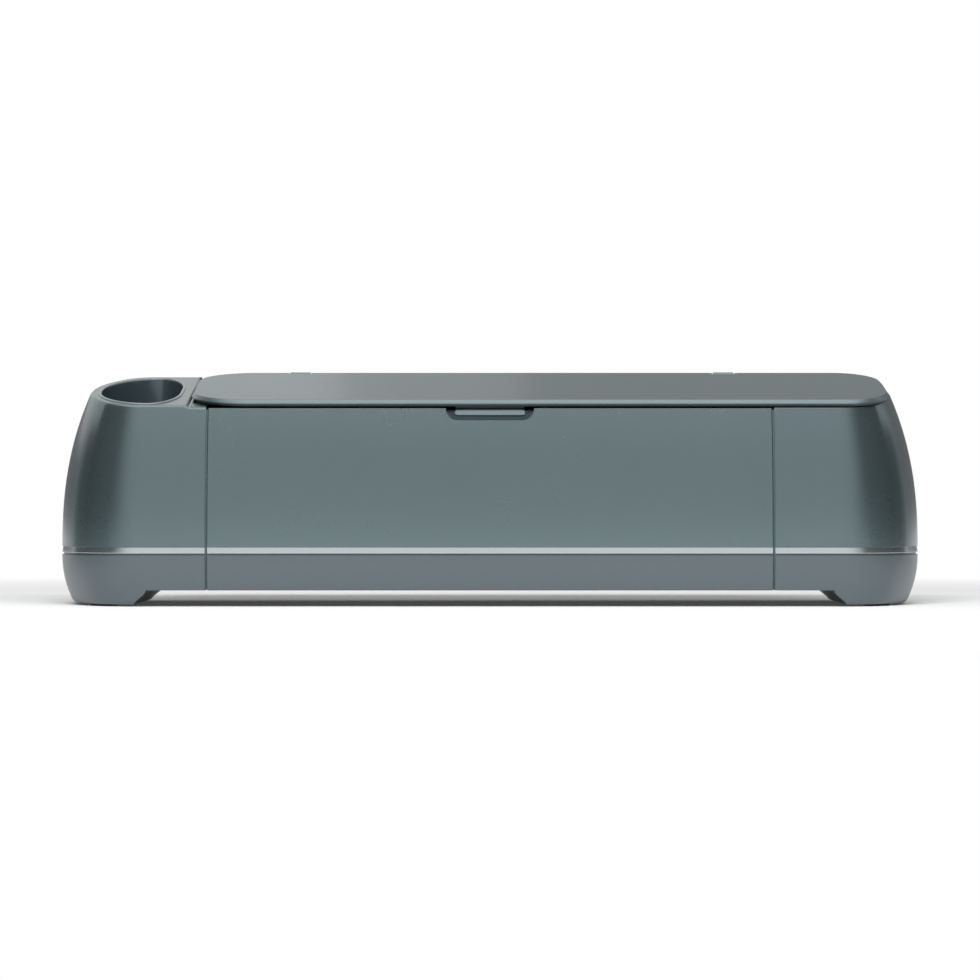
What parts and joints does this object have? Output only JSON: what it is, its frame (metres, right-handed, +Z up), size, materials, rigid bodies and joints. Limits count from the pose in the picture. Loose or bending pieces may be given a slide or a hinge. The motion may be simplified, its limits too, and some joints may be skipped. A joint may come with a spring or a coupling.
{
  "type": "die cutting machine",
  "caption": "Motorised electronic cutting machine with a lifting lid, fold-down front door, tool cup, feed roller and a belt-driven tool carriage.",
  "frame": {"origin": "under the middle of the casing, on the surface it stands on", "axes": "+X along the casing to the user's right, the door faces -Y, +Z up"},
  "size_m": [0.574, 0.18, 0.1568],
  "materials": {
    "casing_paint": "satin",
    "lid_paint": "satin",
    "bright_band": "satin",
    "cup_plastic": "satin",
    "soft_rubber": "matte",
    "gloss_black": "gloss",
    "light_lens": "translucent look",
    "circuit_board": "solder mask",
    "screw_steel": "zinc",
    "inner_dark": "textured",
    "socket_steel": "plated",
    "frame_steel": "zinc",
    "inner_grey": "textured",
    "bronze": "sintered",
    "rail_aluminium": "anodised",
    "ground_steel": "ground",
    "belt_rubber": "matte",
    "motor_black": "satin",
    "key_silver": "satin",
    "key_green": "satin",
    "grit": "gritty",
    "gear_nylon": "moulded",
    "pinion_brass": "machined",
    "roll_rubber": "ground",
    "star_white": "moulded",
    "pulley_aluminium": "machined",
    "carriage_grey": "moulded",
    "carriage_light": "satin",
    "slide_grey": "moulded",
    "lever_white": "satin",
    "housing_metal": "anodised"
  },
  "bodies": {
    "casing": {"base_pan": "casing_paint", "waist_band": "bright_band", "left_cover": "casing_paint", "right_cover": "casing_paint", "rear_cover": "casing_paint", "tool_cup": "cup_plastic", "cup_liner": "soft_rubber", "button_panel": "gloss_black", "status_light": "light_lens", "button_board": "circuit_board", "rubber_feet": "soft_rubber", "casing_screws": "screw_steel", "port_plate": "inner_dark", "power_inlet": "gloss_black", "data_socket": "socket_steel", "control_board": "circuit_board", "left_frame": "frame_steel", "right_frame": "frame_steel", "front_platen": "inner_grey", "rear_platen": "inner_grey", "mat_guides": "inner_dark", "roller_bearings": "bronze", "carriage_rail": "rail_aluminium", "guide_rod": "ground_steel", "idler_bracket": "frame_steel", "drive_belt": "belt_rubber", "feed_motor": "motor_black", "gear_bracket": "frame_steel", "carriage_motor": "motor_black", "motor_shelf": "frame_steel", "lid_hinge_pins": "ground_steel"},
    "lid": {"lid_panel": "lid_paint", "lid_liner": "inner_dark"},
    "door": {"door_panel": "casing_paint", "door_band": "bright_band", "door_skirt": "casing_paint", "door_liner": "inner_grey", "door_hinge_pins": "ground_steel"},
    "power_key": {"power_button": "key_silver"},
    "load_key": {"load_button": "key_silver"},
    "pause_key": {"pause_button": "key_silver"},
    "go_key": {"go_button": "key_green"},
    "roller": {"feed_roller": "ground_steel", "grit_sleeves": "grit", "roller_gear": "gear_nylon"},
    "pinion": {"motor_pinion": "pinion_brass"},
    "pinch": {"pinch_shaft": "ground_steel", "pinch_rollers": "roll_rubber", "star_wheels": "star_white"},
    "belt_drive": {"drive_pulley": "pinion_brass"},
    "belt_idler": {"idler_pulley": "pulley_aluminium"},
    "carriage": {"carriage_body": "carriage_grey", "carriage_cover": "carriage_light"},
    "tool_a": {"tool_slide_a": "slide_grey"},
    "tool_b": {"tool_slide_b": "slide_grey", "blade_housing": "housing_metal"},
    "lever_a": {"clamp_lever_a": "lever_white"},
    "lever_b": {"clamp_lever_b": "lever_white"},
    "blade": {"blade_spindle": "pinion_brass"}
  },
  "joints": [
    {"name": "lid_open", "type": "hinge", "parent": "casing", "child": "lid", "pos_m": [0, 0.0625, 0.15362], "axis": [-1, 0, 0], "range_deg": [0, 100]},
    {"name": "door_open", "type": "hinge", "parent": "casing", "child": "door", "pos_m": [0, -0.074, 0.021], "axis": [1, 0, 0], "range_deg": [0, 90]},
    {"name": "power_press", "type": "slide", "parent": "casing", "child": "power_key", "axis": [0, 0.1526, -0.9883], "range_m": [0, 0.001], "stiffness_N_per_m": 300, "springref_m": -0.001},
    {"name": "load_press", "type": "slide", "parent": "casing", "child": "load_key", "axis": [0, 0.1526, -0.9883], "range_m": [0, 0.001], "stiffness_N_per_m": 300, "springref_m": -0.001},
    {"name": "pause_press", "type": "slide", "parent": "casing", "child": "pause_key", "axis": [0, 0.1526, -0.9883], "range_m": [0, 0.001], "stiffness_N_per_m": 300, "springref_m": -0.001},
    {"name": "go_press", "type": "slide", "parent": "casing", "child": "go_key", "axis": [0, 0.1526, -0.9883], "range_m": [0, 0.001], "stiffness_N_per_m": 300, "springref_m": -0.001},
    {"name": "roller_turn", "type": "hinge", "parent": "casing", "child": "roller", "pos_m": [0, 0, 0.0295], "axis": [1, 0, 0], "continuous": true},
    {"name": "pinion_turn", "type": "hinge", "parent": "casing", "child": "pinion", "pos_m": [0, 0.01423, 0.04373], "axis": [1, 0, 0], "continuous": true},
    {"name": "pinch_turn", "type": "hinge", "parent": "casing", "child": "pinch", "pos_m": [0, 0, 0.0424], "axis": [1, 0, 0], "continuous": true},
    {"name": "carriage_travel", "type": "slide", "parent": "casing", "child": "carriage", "axis": [1, 0, 0], "range_m": [-0.148, 0.148]},
    {"name": "belt_drive_turn", "type": "hinge", "parent": "casing", "child": "belt_drive", "pos_m": [0.22, 0.034, 0.1065], "axis": [0, 0, 1], "range_deg": [-1215, 1215]},
    {"name": "belt_idler_turn", "type": "hinge", "parent": "casing", "child": "belt_idler", "pos_m": [-0.174, 0.034, 0.1065], "axis": [0, 0, 1], "range_deg": [-1215, 1215]},
    {"name": "tool_a_drop", "type": "slide", "parent": "carriage", "child": "tool_a", "axis": [0, 0, -1], "range_m": [0, 0.007], "stiffness_N_per_m": 150, "springref_m": -0.005},
    {"name": "tool_b_drop", "type": "slide", "parent": "carriage", "child": "tool_b", "axis": [0, 0, -1], "range_m": [0, 0.007], "stiffness_N_per_m": 150, "springref_m": -0.006},
    {"name": "lever_a_open", "type": "hinge", "parent": "tool_a", "child": "lever_a", "pos_m": [-0.016, -0.022, 0.084], "axis": [1, 0, 0], "range_deg": [0, 75]},
    {"name": "lever_b_open", "type": "hinge", "parent": "tool_b", "child": "lever_b", "pos_m": [0.016, -0.022, 0.084], "axis": [1, 0, 0], "range_deg": [0, 75]},
    {"name": "blade_turn", "type": "hinge", "parent": "tool_b", "child": "blade", "pos_m": [0.016, -0.022, 0.08], "axis": [0, 0, 1], "continuous": true}
  ],
  "couplings": [
    {"joint": "door_open", "follows": "lid_open", "ratio": 0.9},
    {"joint": "pinion_turn", "follows": "roller_turn", "ratio": -2.3333},
    {"joint": "pinch_turn", "follows": "roller_turn", "ratio": -1.2727},
    {"joint": "belt_drive_turn", "follows": "carriage_travel", "rad_per_m": 142.86},
    {"joint": "belt_idler_turn", "follows": "carriage_travel", "rad_per_m": 142.86}
  ]
}
